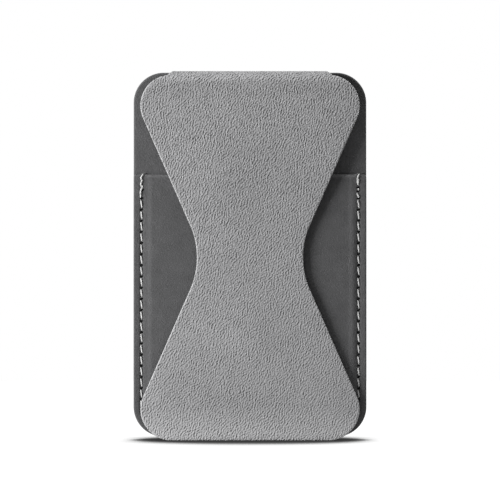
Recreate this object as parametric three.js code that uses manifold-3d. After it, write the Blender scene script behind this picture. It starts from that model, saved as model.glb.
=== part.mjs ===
// A magnetic card holder for the back of a phone, with a fold-out leather stand.
// Millimetres, +Z up. X runs across the holder and -Y is its front. The phone lies on the plane y = 0,
// and the origin is the centre of the magnet ring on that plane.
import * as THREE from 'three';
import { mergeVertices } from 'three/addons/utils/BufferGeometryUtils.js';
import Module from 'manifold-3d';

const wasm = await Module();
wasm.setup();

// The magnet ring that holds the phone, and the bar that keeps it from turning.
const ringOuterRadius = 27;
const ringBandWidth = 4;
const ringMagnetCount = 16;
const ringMagnetGap = 0.3;
const ringMagnetThickness = 0.9;
const ringOpeningAngle = THREE.MathUtils.degToRad(24);
const yokeThickness = 0.3;
const barMagnetWidth = 20;
const barMagnetHeight = 6;
const barMagnetGap = 7;

// The body, a rounded rectangle of leather over a board, with a margin round the ring.
const ringSideMargin = 5.2;
const ringTopMargin = 6;
const bodyHeight = 100.7;
const bodyCornerRadius = 8.3;

// The layers, in order from the phone to the front.
const backSkinThickness = 0.6;
const magnetBoardThickness = 1.6;
const cardShieldThickness = 0.3;
const frontSkinThickness = 0.6;
const cardSlotGap = 1.0;
const pocketLiningThickness = 0.3;
const pocketPanelThickness = 0.6;
const flapRunningGap = 0.3;
const flapLiningThickness = 0.4;
const flapBoardThickness = 0.6;
const flapLeatherThickness = 0.6;

// Small clearances and the overrun of a cutting tool.
const cutGap = 0.3;
const seatGap = 0.2;
const cutOverrun = 1;

// The front skin is a shallow tray whose rim closes on the back skin round the board.
const rimWidth = 1.5;
const shieldInset = 3;

// The card pocket: a bank card, 54 wide and 0.76 thick, slides in between the side welts.
const pocketMouthDrop = 28.2;
const sideWeltWidth = 4.2;
const bottomWeltHeight = 3.2;
const strikePlateMargin = 12.2;
const strikePlateThickness = 0.3;
const closingPlateHeight = 8;
const standPlateHeight = 12;

// The lock stitch round the pocket.
const seamInset = 2.2;
const stitchPitch = 3.1;
const seamTopInset = 0.5;
const threadWidth = 0.55;
const threadThickness = 0.22;
const threadDip = 0.16;
const grooveWidth = 0.9;
const grooveDepth = 0.4;

// The hourglass flap.
const flapSideInset = 1.95;
const waistWidth = 29.3;
const flapCornerRadius = 8.6;
const waistRadius = 22;
const flapTopDrop = 0.65;
const thumbLipOverhang = 0.95;
const flapBoardInset = 1.0;
const flapLiningInset = 0.4;
const waistCreaseHeight = 5.2;
const topCreaseHeight = 1.6;
const leafBoardSetback = 0.4;
const hemHeight = 0.7;

// The magnets in the end of the flap.
const flapMagnetWidth = 12;
const flapMagnetHeight = 5;
const flapMagnetSpacing = 2;
const flapMagnetEdge = 2.5;

// The leather strap over the top edge, on which the flap hangs.
const strapSideInset = 8.15;
const strapThickness = 0.4;
const strapTailLength = 4.4;
const strapRollRadius = 3.2;
const rootStripHeight = 1.7;

// How finely the round stretches are drawn.
const cornerSteps = 8;
const waistSteps = 14;
const ringSteps = 64;
const magnetSteps = 4;
const rollSteps = 8;
const stationsPerStitch = 4;

// Widths, levels in Z and depths from the phone face that the pieces share.
const ringInnerRadius = ringOuterRadius - ringBandWidth;
const bodyHalfWidth = ringOuterRadius + ringSideMargin;
const pocketClearHalfWidth = bodyHalfWidth - sideWeltWidth;
const flapWidth = 2 * (bodyHalfWidth - flapSideInset);
const strapWidth = flapWidth - 2 * strapSideInset;
const strikePlateWidth = 2 * (bodyHalfWidth - strikePlateMargin);
const barMagnetLevel = -(ringOuterRadius + barMagnetGap + barMagnetHeight / 2);
const bodyTop = ringOuterRadius + ringTopMargin;
const bodyBottom = bodyTop - bodyHeight;
const cornerCentreX = bodyHalfWidth - bodyCornerRadius;
const cornerCentreZ = bodyBottom + bodyCornerRadius;
const pocketMouth = bodyTop - pocketMouthDrop;
const flapTop = bodyTop - flapTopDrop;
const flapBottom = bodyBottom - thumbLipOverhang;
const waistLevel = (flapTop + flapBottom) / 2;

const boardBack = backSkinThickness;
const shieldBack = boardBack + magnetBoardThickness;
const frontSkinBack = shieldBack + cardShieldThickness;
const slotBack = frontSkinBack + frontSkinThickness;
const liningBack = slotBack + cardSlotGap;
const panelBack = liningBack + pocketLiningThickness;
const panelFront = panelBack + pocketPanelThickness;
const flapLiningBack = panelFront + flapRunningGap;
const flapBoardBack = flapLiningBack + flapLiningThickness;
const flapLeatherBack = flapBoardBack + flapBoardThickness;
const flapFront = flapLeatherBack + flapLeatherThickness;

const rollCentreDepth = flapFront - strapRollRadius;
const rollCentreZ = bodyTop + strapThickness - strapRollRadius;
const rootStripBottom = rollCentreZ - rootStripHeight;
const topCreaseLevel = rootStripBottom - topCreaseHeight / 2;
const upperLeafTop = rootStripBottom - topCreaseHeight;
const upperLeafBottom = waistLevel + waistCreaseHeight / 2;
const lowerLeafTop = waistLevel - waistCreaseHeight / 2;

// Points of an arc, from one angle to another.
function arc(centreX, centreY, radius, from, to, steps) {
  const points = [];
  for (let i = 0; i <= steps; i += 1) {
    const angle = from + ((to - from) * i) / steps;
    points.push([centreX + radius * Math.cos(angle), centreY + radius * Math.sin(angle)]);
  }
  return points;
}

function mirrored(points) {
  return points.map(([x, z]) => [-x, z]).reverse();
}

// The body's outline, drawn in by an inset.
function bodyOutline(inset = 0) {
  const radius = bodyCornerRadius - inset;
  const right = [
    ...arc(cornerCentreX, cornerCentreZ, radius, -Math.PI / 2, 0, cornerSteps),
    ...arc(cornerCentreX, bodyTop - bodyCornerRadius, radius, 0, Math.PI / 2, cornerSteps),
  ];
  return [...right, ...mirrored(right)];
}

// The hourglass outline of the flap: corner arcs and waist arcs, joined by the lines that touch both.
function flapOutline(inset = 0) {
  const cornerX = flapWidth / 2 - flapCornerRadius;
  const topZ = flapTop - flapCornerRadius;
  const bottomZ = flapBottom + flapCornerRadius;
  const waistX = waistWidth / 2 + waistRadius;
  const reach = Math.hypot(waistX - cornerX, waistLevel - topZ);
  const turn = Math.acos((flapCornerRadius + waistRadius) / reach);
  const touch = Math.atan2(waistLevel - topZ, waistX - cornerX) + turn;
  const corner = flapCornerRadius - inset;
  const waist = waistRadius + inset;
  const right = [
    ...arc(cornerX, bottomZ, corner, -Math.PI / 2, -touch, cornerSteps),
    ...arc(waistX, waistLevel, waist, Math.PI - touch, Math.PI + touch, waistSteps),
    ...arc(cornerX, topZ, corner, touch, Math.PI / 2, cornerSteps),
  ];
  return [...right, ...mirrored(right)];
}

// Keeps the part of an outline on one side of a level: axis 0 is X and axis 1 is Z.
function clip(points, axis, limit, keepHigher) {
  const inside = (point) => (keepHigher ? point[axis] >= limit : point[axis] <= limit);
  const kept = [];
  points.forEach((point, i) => {
    const next = points[(i + 1) % points.length];
    if (inside(point)) kept.push(point);
    if (inside(point) !== inside(next)) {
      const share = (limit - point[axis]) / (next[axis] - point[axis]);
      const crossing = point.map((value, k) => value + share * (next[k] - value));
      crossing[axis] = limit;
      kept.push(crossing);
    }
  });
  return kept.filter((point, i) => {
    const before = kept[(i + kept.length - 1) % kept.length];
    return point[0] !== before[0] || point[1] !== before[1];
  });
}

const between = (points, low, high) => clip(clip(points, 1, low, true), 1, high, false);

function rectangle(centreX, centreZ, width, height) {
  return [
    [centreX - width / 2, centreZ - height / 2],
    [centreX + width / 2, centreZ - height / 2],
    [centreX + width / 2, centreZ + height / 2],
    [centreX - width / 2, centreZ + height / 2],
  ];
}

function ringSector(inner, outer, from, to, steps) {
  return [...arc(0, 0, outer, from, to, steps), ...arc(0, 0, inner, to, from, steps)];
}

// A flat piece cut to an outline. Its back lies at y = 0 and its front at y = -thickness.
function plate(outline, thickness) {
  const shape = new THREE.Shape(outline.map(([x, z]) => new THREE.Vector2(x, z)));
  const geometry = new THREE.ExtrudeGeometry(shape, { depth: thickness, bevelEnabled: false });
  return geometry.rotateX(Math.PI / 2);
}

// A piece with one side profile of depths and levels, all the way across its width.
function profilePiece(profile, width) {
  const shape = new THREE.Shape(profile.map(([depth, z]) => new THREE.Vector2(depth, z)));
  const geometry = new THREE.ExtrudeGeometry(shape, { depth: width, bevelEnabled: false });
  const turn = new THREE.Matrix4().makeBasis(
    new THREE.Vector3(0, -1, 0),
    new THREE.Vector3(0, 0, 1),
    new THREE.Vector3(-1, 0, 0),
  );
  return geometry.applyMatrix4(turn).translate(width / 2, 0, 0);
}

function asSolid(geometry) {
  const bare = geometry.clone();
  bare.deleteAttribute('normal');
  bare.deleteAttribute('uv');
  const merged = mergeVertices(bare);
  return new wasm.Manifold(new wasm.Mesh({
    numProp: 3,
    vertProperties: merged.attributes.position.array,
    triVerts: Uint32Array.from(merged.index.array),
  }));
}

function cutAway(geometry, tools) {
  const solid = tools.reduce((rest, tool) => rest.subtract(asSolid(tool)), asSolid(geometry));
  const mesh = solid.getMesh();
  const result = new THREE.BufferGeometry();
  result.setAttribute('position', new THREE.BufferAttribute(mesh.vertProperties, 3));
  result.setIndex(new THREE.BufferAttribute(mesh.triVerts, 1));
  result.computeVertexNormals();
  return result;
}

// A tool that cuts an outline into the back of a plate, to a depth.
function backCutter(outline, depth) {
  return plate(outline, depth + cutOverrun).translate(0, cutOverrun, 0);
}

// A tool that cuts an outline right through a plate.
function throughCutter(outline, thickness) {
  return backCutter(outline, thickness + cutOverrun);
}

const finishes = {
  darkLeather: { color: 0x5a5a5c, roughness: 0.72, metalness: 0 },
  lightLeather: { color: 0x939395, roughness: 0.68, metalness: 0 },
  microfibre: { color: 0x4c4c4e, roughness: 0.95, metalness: 0 },
  fibreboard: { color: 0x6d675e, roughness: 0.85, metalness: 0 },
  steel: { color: 0xb4b6b8, roughness: 0.35, metalness: 1 },
  magnet: { color: 0xc6c8cb, roughness: 0.22, metalness: 1 },
  thread: { color: 0xcfcfcd, roughness: 0.8, metalness: 0 },
};

function addPiece(group, name, geometry, finish, back = 0) {
  const mesh = new THREE.Mesh(geometry, new THREE.MeshStandardMaterial(finishes[finish]));
  mesh.name = name;
  mesh.position.y = -back;
  group.add(mesh);
}

const holder = new THREE.Group();
const bodyGroup = new THREE.Group();
const flapRootGroup = new THREE.Group();
const upperLeafGroup = new THREE.Group();
const lowerLeafGroup = new THREE.Group();
holder.add(bodyGroup);
bodyGroup.add(flapRootGroup);
flapRootGroup.add(upperLeafGroup);
upperLeafGroup.add(lowerLeafGroup);

// The back skin lies on the phone.
addPiece(bodyGroup, 'back_skin', plate(bodyOutline(), backSkinThickness), 'microfibre');

// The front skin, with its rim turned back to the back skin and a notch where the strap leaves.
function frontSkin() {
  const depth = slotBack - boardBack;
  const notchHeight = 2 * (rimWidth + cutOverrun);
  return cutAway(plate(bodyOutline(), depth), [
    backCutter(bodyOutline(rimWidth), frontSkinBack - boardBack),
    backCutter(rectangle(0, bodyTop, strapWidth + 2 * cutGap, notchHeight), strapThickness),
  ]);
}
addPiece(bodyGroup, 'front_skin', frontSkin(), 'darkLeather', boardBack);

// The magnet board, with blind pockets in its back for the ring, the bar and the strap's tail.
const ringStart = -Math.PI / 2 + ringOpeningAngle / 2;
const ringSweep = 2 * Math.PI - ringOpeningAngle;
const boardInset = rimWidth + cutGap;

function magnetBoard() {
  const spare = cutGap / ringInnerRadius;
  const channel = ringSector(
    ringInnerRadius - cutGap,
    ringOuterRadius + cutGap,
    ringStart - spare,
    ringStart + ringSweep + spare,
    ringSteps,
  );
  const bar = rectangle(0, barMagnetLevel, barMagnetWidth + 2 * seatGap, barMagnetHeight + 2 * seatGap);
  const tail = rectangle(0, bodyTop, strapWidth + 2 * cutGap, 2 * (strapTailLength + cutGap));
  return cutAway(plate(bodyOutline(boardInset), magnetBoardThickness), [
    backCutter(channel, ringMagnetThickness + yokeThickness),
    backCutter(bar, ringMagnetThickness),
    backCutter(tail, strapThickness),
  ]);
}
addPiece(bodyGroup, 'magnet_board', magnetBoard(), 'fibreboard', boardBack);

// The steel yoke joins the fields of the ring magnets on the side away from the phone.
const ringEnd = ringStart + ringSweep;
const yokeOutline = ringSector(ringInnerRadius, ringOuterRadius, ringStart, ringEnd, ringSteps);
const yokeBack = boardBack + ringMagnetThickness;
addPiece(bodyGroup, 'magnet_yoke', plate(yokeOutline, yokeThickness), 'steel', yokeBack);

// The ring magnets, in a row round the ring with its opening at the bottom.
const ringMagnetPitch = ringSweep / ringMagnetCount;
const ringMagnetMargin = ringMagnetGap / (ringInnerRadius + ringOuterRadius);
for (let i = 0; i < ringMagnetCount; i += 1) {
  const from = ringStart + i * ringMagnetPitch + ringMagnetMargin;
  const to = ringStart + (i + 1) * ringMagnetPitch - ringMagnetMargin;
  const outline = ringSector(ringInnerRadius, ringOuterRadius, from, to, magnetSteps);
  const name = `ring_magnet_${String(i + 1).padStart(2, '0')}`;
  addPiece(bodyGroup, name, plate(outline, ringMagnetThickness), 'magnet', boardBack);
}

const barOutline = rectangle(0, barMagnetLevel, barMagnetWidth, barMagnetHeight);
addPiece(bodyGroup, 'alignment_magnet', plate(barOutline, ringMagnetThickness), 'magnet', boardBack);

// The steel sheet that keeps the magnets' field off the cards.
addPiece(bodyGroup, 'card_shield', plate(bodyOutline(shieldInset), cardShieldThickness), 'steel', shieldBack);

// The welts hold the pocket panel off the front skin at the sides and the bottom.
const pocketOutline = clip(bodyOutline(), 1, pocketMouth, false);
const bottomWeltTop = bodyBottom + bottomWeltHeight;
const sideOutline = clip(pocketOutline, 1, bottomWeltTop, true);
const rightWelt = plate(clip(sideOutline, 0, pocketClearHalfWidth, true), cardSlotGap);
const leftWelt = plate(clip(sideOutline, 0, -pocketClearHalfWidth, false), cardSlotGap);
const bottomWelt = plate(clip(pocketOutline, 1, bottomWeltTop, false), cardSlotGap);
addPiece(bodyGroup, 'pocket_welt_left', leftWelt, 'darkLeather', slotBack);
addPiece(bodyGroup, 'pocket_welt_right', rightWelt, 'darkLeather', slotBack);
addPiece(bodyGroup, 'pocket_welt_bottom', bottomWelt, 'darkLeather', slotBack);
addPiece(bodyGroup, 'pocket_lining', plate(pocketOutline, pocketLiningThickness), 'microfibre', liningBack);

// The seam runs down the left side, round the bottom and up the right side, at one distance from the edge.
const seamRadius = bodyCornerRadius - seamInset;
const seamSide = pocketMouth - seamTopInset - cornerCentreZ;
const seamBend = (seamRadius * Math.PI) / 2;
const seamBase = 2 * cornerCentreX;
const seamLength = 2 * seamSide + 2 * seamBend + seamBase;

function seamPoint(distance) {
  const half = seamLength / 2;
  const right = distance > half;
  const along = right ? seamLength - distance : distance;
  const turned = THREE.MathUtils.clamp((along - seamSide) / seamRadius, 0, Math.PI / 2);
  const down = Math.min(along, seamSide);
  const across = Math.max(along - seamSide - seamBend, 0);
  const x = cornerCentreX + seamRadius * Math.cos(turned) - across;
  const z = cornerCentreZ + seamSide - down - seamRadius * Math.sin(turned);
  const side = right ? 1 : -1;
  return { x: side * x, z, outX: side * Math.cos(turned), outZ: -Math.sin(turned) };
}

// A strip of four-sided section laid along the seam. The depths are worked out at each station.
function seamStrip(distances, width, depthsAt) {
  const corners = distances.map((distance, i) => {
    const { x, z, outX, outZ } = seamPoint(distance);
    const [back, front] = depthsAt(i);
    const at = (reach, depth) => [x + reach * outX, -depth, z + reach * outZ];
    return [at(width / 2, back), at(-width / 2, back), at(-width / 2, front), at(width / 2, front)];
  });
  const index = [];
  const quad = (a, b, c, d) => index.push(a, b, c, a, c, d);
  for (let i = 0; i + 1 < corners.length; i += 1) {
    for (let k = 0; k < 4; k += 1) {
      const next = (k + 1) % 4;
      quad(4 * i + k, 4 * i + next, 4 * i + 4 + next, 4 * i + 4 + k);
    }
  }
  const last = 4 * (corners.length - 1);
  quad(3, 2, 1, 0);
  quad(last, last + 1, last + 2, last + 3);
  const geometry = new THREE.BufferGeometry();
  geometry.setAttribute('position', new THREE.Float32BufferAttribute(corners.flat(2), 3));
  geometry.setIndex(index);
  geometry.computeVertexNormals();
  return geometry;
}

const stitchCount = Math.round(seamLength / stitchPitch);
const stationCount = stitchCount * stationsPerStitch;
const seamStations = Array.from({ length: stationCount + 1 }, (_, i) => (seamLength * i) / stationCount);

// The pocket panel, with a groove for the seam in its front and recesses for the plates in its back.
const closingPlateLevel = bodyBottom + bottomWeltHeight + closingPlateHeight / 2;
const upperReach = topCreaseLevel - waistLevel;
const lowerReach = waistLevel - flapBottom;
const standFoldMax = THREE.MathUtils.degToRad(60);
const apexDepth = upperReach * Math.sin(standFoldMax);
const standBase = upperReach * Math.cos(standFoldMax) + Math.sqrt(lowerReach ** 2 - apexDepth ** 2);
const standPlateLevel = topCreaseLevel - standBase;

function pocketPanel() {
  const recess = (level, height) => backCutter(
    rectangle(0, level, strikePlateWidth + 2 * seatGap, height + 2 * seatGap),
    strikePlateThickness,
  );
  const grooveFloor = pocketPanelThickness - grooveDepth;
  const reach = [-seamTopInset - cutOverrun, ...seamStations.slice(1, -1)];
  const groove = seamStrip(
    [...reach, seamLength + seamTopInset + cutOverrun],
    grooveWidth,
    () => [grooveFloor, pocketPanelThickness + cutOverrun],
  );
  return cutAway(plate(pocketOutline, pocketPanelThickness), [
    groove,
    recess(closingPlateLevel, closingPlateHeight),
    recess(standPlateLevel, standPlateHeight),
  ]);
}
addPiece(bodyGroup, 'pocket_panel', pocketPanel(), 'darkLeather', panelBack);

// The flap's magnets pull on one plate when it is shut and on the other when it stands.
const closingPlate = plate(rectangle(0, closingPlateLevel, strikePlateWidth, closingPlateHeight), strikePlateThickness);
const standPlate = plate(rectangle(0, standPlateLevel, strikePlateWidth, standPlateHeight), strikePlateThickness);
addPiece(bodyGroup, 'closing_strike_plate', closingPlate, 'steel', panelBack);
addPiece(bodyGroup, 'stand_strike_plate', standPlate, 'steel', panelBack);

// The thread lies in its groove and dips at each needle hole.
function seamThread() {
  return seamStrip(seamStations, threadWidth, (i) => {
    const front = pocketPanelThickness - (i % stationsPerStitch === 0 ? threadDip : 0);
    return [front - threadThickness, front];
  });
}
addPiece(bodyGroup, 'pocket_seam_thread', seamThread(), 'thread', panelBack);

// The ledge fills the step in front of the body, so that the flap hangs level over the pocket.
const ledgeRadius = strapRollRadius - strapThickness - cutGap;
const ledgeProfile = [
  [slotBack, rootStripBottom],
  [rollCentreDepth + ledgeRadius, rootStripBottom],
  ...arc(rollCentreDepth, rollCentreZ, ledgeRadius, 0, Math.PI / 2, rollSteps),
  [slotBack, rollCentreZ + ledgeRadius],
];
addPiece(bodyGroup, 'hinge_ledge', profilePiece(ledgeProfile, strapWidth), 'fibreboard');

// The strap: a tail glued behind the front skin, the top edge, and the roll down to the flap.
const tailFront = boardBack + strapThickness;
const strapProfile = [
  [boardBack, bodyTop - strapTailLength],
  [tailFront, bodyTop - strapTailLength],
  [tailFront, bodyTop],
  ...arc(rollCentreDepth, rollCentreZ, strapRollRadius - strapThickness, Math.PI / 2, 0, rollSteps),
  ...arc(rollCentreDepth, rollCentreZ, strapRollRadius, 0, Math.PI / 2, rollSteps),
  ...arc(tailFront, bodyTop, strapThickness, Math.PI / 2, Math.PI, rollSteps),
];
addPiece(bodyGroup, 'hinge_strap', profilePiece(strapProfile, strapWidth), 'lightLeather');

// The root of the flap: an unstiffened strip, with the flap's top corners beside the strap.
function flapRoot() {
  const cornerRoom = 2 * (bodyTop - rollCentreZ);
  const strapRoom = rectangle(0, bodyTop, strapWidth + 2 * cutGap, cornerRoom);
  const outline = clip(flapOutline(), 1, rootStripBottom, true);
  return cutAway(plate(outline, flapLeatherThickness), [throughCutter(strapRoom, flapLeatherThickness)]);
}
addPiece(flapRootGroup, 'flap_root_leather', flapRoot(), 'lightLeather', flapLeatherBack);

const topCrease = plate(between(flapOutline(), upperLeafTop, rootStripBottom), flapLeatherThickness);
addPiece(flapRootGroup, 'top_crease_leather', topCrease, 'lightLeather', flapLeatherBack);

// The upper leaf: grained leather outside, a stiff board, and a lining inside.
const upperBoardTop = upperLeafTop - leafBoardSetback;
const upperLeather = plate(between(flapOutline(), upperLeafBottom, upperLeafTop), flapLeatherThickness);
const upperBoardOutline = between(flapOutline(flapBoardInset), upperLeafBottom, upperBoardTop);
const upperLiningOutline = between(flapOutline(flapLiningInset), upperLeafBottom, upperBoardTop);
const upperBoard = plate(upperBoardOutline, flapBoardThickness);
const upperLining = plate(upperLiningOutline, flapLiningThickness);
addPiece(upperLeafGroup, 'upper_leaf_leather', upperLeather, 'lightLeather', flapLeatherBack);
addPiece(upperLeafGroup, 'upper_leaf_board', upperBoard, 'fibreboard', flapBoardBack);
addPiece(upperLeafGroup, 'upper_leaf_lining', upperLining, 'microfibre', flapLiningBack);

// The waist has no board: leather and lining lie together and crease.
const creaseThickness = flapLeatherThickness + flapLiningThickness;
const waistCrease = plate(between(flapOutline(), lowerLeafTop, upperLeafBottom), creaseThickness);
addPiece(upperLeafGroup, 'waist_crease_leather', waistCrease, 'lightLeather', flapFront - creaseThickness);

// The lower leaf, with magnets in its board and its end turned over as a thumb lip.
const flapMagnetLevel = flapBottom + flapBoardInset + flapMagnetEdge + flapMagnetHeight / 2;
const flapMagnetNames = ['flap_magnet_left', 'flap_magnet_middle', 'flap_magnet_right'];
const flapMagnetPitch = flapMagnetWidth + flapMagnetSpacing;
const magnetX = (i) => (i - (flapMagnetNames.length - 1) / 2) * flapMagnetPitch;
const magnetHoles = flapMagnetNames.map((_, i) => throughCutter(
  rectangle(magnetX(i), flapMagnetLevel, flapMagnetWidth + 2 * seatGap, flapMagnetHeight + 2 * seatGap),
  flapBoardThickness,
));
const lowerLeather = plate(clip(flapOutline(), 1, lowerLeafTop, false), flapLeatherThickness);
const lowerBoardOutline = clip(flapOutline(flapBoardInset), 1, lowerLeafTop, false);
const lowerLiningOutline = clip(flapOutline(flapLiningInset), 1, lowerLeafTop, false);
const lowerBoard = cutAway(plate(lowerBoardOutline, flapBoardThickness), magnetHoles);
const lowerLining = plate(lowerLiningOutline, flapLiningThickness);
addPiece(lowerLeafGroup, 'lower_leaf_leather', lowerLeather, 'lightLeather', flapLeatherBack);
addPiece(lowerLeafGroup, 'lower_leaf_board', lowerBoard, 'fibreboard', flapBoardBack);
addPiece(lowerLeafGroup, 'lower_leaf_lining', lowerLining, 'microfibre', flapLiningBack);

flapMagnetNames.forEach((name, i) => {
  const outline = rectangle(magnetX(i), flapMagnetLevel, flapMagnetWidth, flapMagnetHeight);
  addPiece(lowerLeafGroup, name, plate(outline, flapBoardThickness), 'magnet', flapBoardBack);
});

const hemWidth = flapWidth - 2 * flapCornerRadius;
const hem = plate(rectangle(0, flapBottom + hemHeight / 2, hemWidth, hemHeight), flapBoardThickness);
addPiece(lowerLeafGroup, 'thumb_lip_hem', hem, 'lightLeather', flapBoardBack);

export default holder;
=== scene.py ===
import math
import bpy
import numpy as np
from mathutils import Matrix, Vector
from mathutils.geometry import delaunay_2d_cdt


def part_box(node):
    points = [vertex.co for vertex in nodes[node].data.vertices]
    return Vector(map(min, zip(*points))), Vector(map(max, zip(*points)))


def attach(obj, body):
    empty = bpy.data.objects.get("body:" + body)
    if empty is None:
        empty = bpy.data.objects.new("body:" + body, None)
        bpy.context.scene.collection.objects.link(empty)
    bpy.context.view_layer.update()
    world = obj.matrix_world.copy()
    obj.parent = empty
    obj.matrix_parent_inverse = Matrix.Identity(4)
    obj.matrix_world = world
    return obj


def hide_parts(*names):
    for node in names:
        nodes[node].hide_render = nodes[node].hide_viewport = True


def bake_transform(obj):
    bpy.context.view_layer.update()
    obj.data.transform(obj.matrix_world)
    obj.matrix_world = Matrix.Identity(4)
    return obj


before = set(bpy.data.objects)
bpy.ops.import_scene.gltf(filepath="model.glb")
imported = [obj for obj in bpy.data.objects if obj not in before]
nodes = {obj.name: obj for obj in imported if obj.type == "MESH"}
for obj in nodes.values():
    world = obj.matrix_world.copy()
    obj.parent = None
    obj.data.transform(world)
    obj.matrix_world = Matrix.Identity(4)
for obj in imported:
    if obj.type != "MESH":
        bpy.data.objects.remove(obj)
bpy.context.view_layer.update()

# Phone-side skin: one rounded rectangle of suede-like microfibre, glued over
# the magnet board. The ring and the bar show through it as faint pressed lines.
MM = 0.001
BODY_HALF_WIDTH = 32.2
BODY_TOP = 33.0
BODY_BOTTOM = -67.7
BODY_CORNER = 8.3
CORNER_STEPS = 18
SHEET_SPACING = 1.0
PATTERN_SPAN = 100.0
PATTERN_START = (-50.0, -70.0)
BACK_SKIN_THICKNESS = 0.6
BACK_SKIN_INSET = 0.2
RING_INNER, RING_OUTER = 23.0, 27.0
RING_CLEARANCE = 0.2
RING_OPENING = 12.0
RING_STEPS = 150
BAR_LEVEL, BAR_HALF_WIDTH, BAR_HALF_HEIGHT = -37.0, 10.0, 3.0
LINE_DEPTH, LINE_REACH = 0.13, 0.6


def smooth(value, low, high):
    """0 below low, 1 above high and a soft S between."""
    t = np.clip((value - low) / (high - low), 0, 1)
    return t * t * (3 - 2 * t)


def arc_points(centre, radius, start, end, steps):
    """Points along an arc, from one angle to another in degrees."""
    angles = np.radians(np.linspace(start, end, steps + 1))
    return np.stack([centre[0] + radius * np.cos(angles), centre[1] + radius * np.sin(angles)], 1)


def finely(points, spacing, closed=True):
    """The same line with its long stretches divided."""
    ends = np.roll(points, -1, 0) if closed else points[1:]
    rows = []
    for a, b in zip(points, ends):
        count = max(1, int(np.ceil(np.linalg.norm(b - a) / spacing - 1e-6)))
        rows.append(a + (b - a) * (np.arange(count) / count)[:, None])
    if not closed:
        rows.append(points[-1:])
    return np.concatenate(rows)


def mirrored_outline(right):
    """A whole outline, anticlockwise, from its right half that runs from bottom to top."""
    left = right[::-1] * (-1, 1)
    whole = np.concatenate([right, left])
    step = np.linalg.norm(whole - np.roll(whole, 1, 0), axis=1)
    return whole[step > 1e-6]


def body_outline(inset=0.0):
    x, radius = BODY_HALF_WIDTH - BODY_CORNER, BODY_CORNER - inset
    lower = arc_points((x, BODY_BOTTOM + BODY_CORNER), radius, -90, 0, CORNER_STEPS)
    upper = arc_points((x, BODY_TOP - BODY_CORNER), radius, 0, 90, CORNER_STEPS)
    return mirrored_outline(np.concatenate([lower, upper]))


def edge_distance(points, line):
    """How far each point is from a closed line of straight stretches."""
    along = np.roll(line, -1, 0) - line
    length = np.maximum((along * along).sum(1), 1e-12)
    nearest = np.full(len(points), 1e9)
    batch = 2000
    for start in range(0, len(points), batch):
        p = points[start:start + batch, None, :] - line[None]
        share = np.clip((p * along).sum(2) / length, 0, 1)
        gap = p - share[:, :, None] * along
        nearest[start:start + batch] = np.sqrt((gap * gap).sum(2)).min(1)
    return nearest


def inside(points, outline):
    """Which of the points lie within a closed outline."""
    x, z = points[:, :1], points[:, 1:]
    x0, z0 = outline[:, 0], outline[:, 1]
    x1, z1 = np.roll(x0, -1), np.roll(z0, -1)
    with np.errstate(divide="ignore", invalid="ignore"):
        crossing = ((z0 > z) != (z1 > z)) & (x < (x1 - x0) * (z - z0) / (z1 - z0) + x0)
    return crossing.sum(1) % 2 == 1


def even_rows(low, high, spacing=SHEET_SPACING):
    """Levels for the rows of points in a cut sheet."""
    count = max(1, int(round((high - low) / spacing)))
    return list(np.linspace(low, high, count + 1))


class Cut:
    """A flat sheet cut to an outline, as points, triangles and each point's distance from the cut edge.
    The triangles keep to lines at the insets along the outline, to the level seams and to the rings."""

    def __init__(self, outline, insets, levels, spacing=SHEET_SPACING, edge_spacing=0.9, seams=(), rings=()):
        outline = finely(outline, edge_spacing)
        span = np.roll(outline, -1, 0) - np.roll(outline, 1, 0)
        inward = np.stack([-span[:, 1], span[:, 0]], 1) / np.linalg.norm(span, axis=1)[:, None]
        points, edges = [], []

        def add(line, closed=True):
            first, count = sum(map(len, points)), len(line)
            points.append(line)
            edges.extend((first + k, first + (k + 1) % count) for k in range(count if closed else count - 1))

        add(outline)
        for inset in insets:
            ring = outline + inward * inset
            good = edge_distance(ring, outline) > inset - 0.02
            number = np.full(len(outline), -1)
            number[good] = sum(map(len, points)) + np.arange(good.sum())
            points.append(ring[good])
            pairs = zip(number.tolist(), np.roll(number, -1).tolist())
            edges.extend((a, b) for a, b in pairs if a >= 0 and b >= 0)
        for line in rings:
            add(line)
        after = np.roll(outline, -1, 0)
        for level in seams:
            cross = (outline[:, 1] - level) * (after[:, 1] - level) < 0
            share = (level - outline[cross, 1]) / (after[cross, 1] - outline[cross, 1])
            ends = np.sort(outline[cross, 0] + share * (after[cross, 0] - outline[cross, 0]))
            add(finely(np.array([[ends[0], level], [ends[-1], level]]), spacing, False), False)
        room = 0.3 * spacing
        low, high = outline[:, 0].min(), outline[:, 0].max()
        for k, level in enumerate(levels):
            if any(abs(level - seam) < 0.1 for seam in seams):
                continue
            across = np.arange(low + (k % 2) * spacing / 2, high, spacing)
            row = np.stack([across, np.full(len(across), level)], 1)
            row = row[inside(row, outline)]
            if len(row):
                keep = edge_distance(row, outline) > insets[-1] + room
                for line in rings:
                    keep &= edge_distance(row, line) > room
                points.append(row[keep])
        made = delaunay_2d_cdt([Vector(p) for p in np.concatenate(points)], edges, [], 1, 1e-5, False)
        self.points = np.array([tuple(p) for p in made[0]])
        triangles = np.array(made[2])
        triangles = triangles[inside(self.points[triangles].mean(1), outline)]
        a, b, c = (self.points[triangles[:, k]] for k in range(3))
        area = (b[:, 0] - a[:, 0]) * (c[:, 1] - a[:, 1]) - (b[:, 1] - a[:, 1]) * (c[:, 0] - a[:, 0])
        triangles[area < 0] = triangles[area < 0][:, ::-1]
        self.triangles = triangles[np.abs(area) > 1e-9]
        self.edge = edge_distance(self.points, outline)

    def part(self, low, high):
        """The stretch of the sheet between two levels."""
        middle = self.points[self.triangles].mean(1)[:, 1]
        kept = self.triangles[(middle > low) & (middle < high)]
        used = np.unique(kept)
        number = np.full(len(self.points), -1)
        number[used] = np.arange(len(used))
        cut = object.__new__(Cut)
        cut.points, cut.edge = self.points[used], self.edge[used]
        cut.triangles = number[kept]
        return cut


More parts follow.
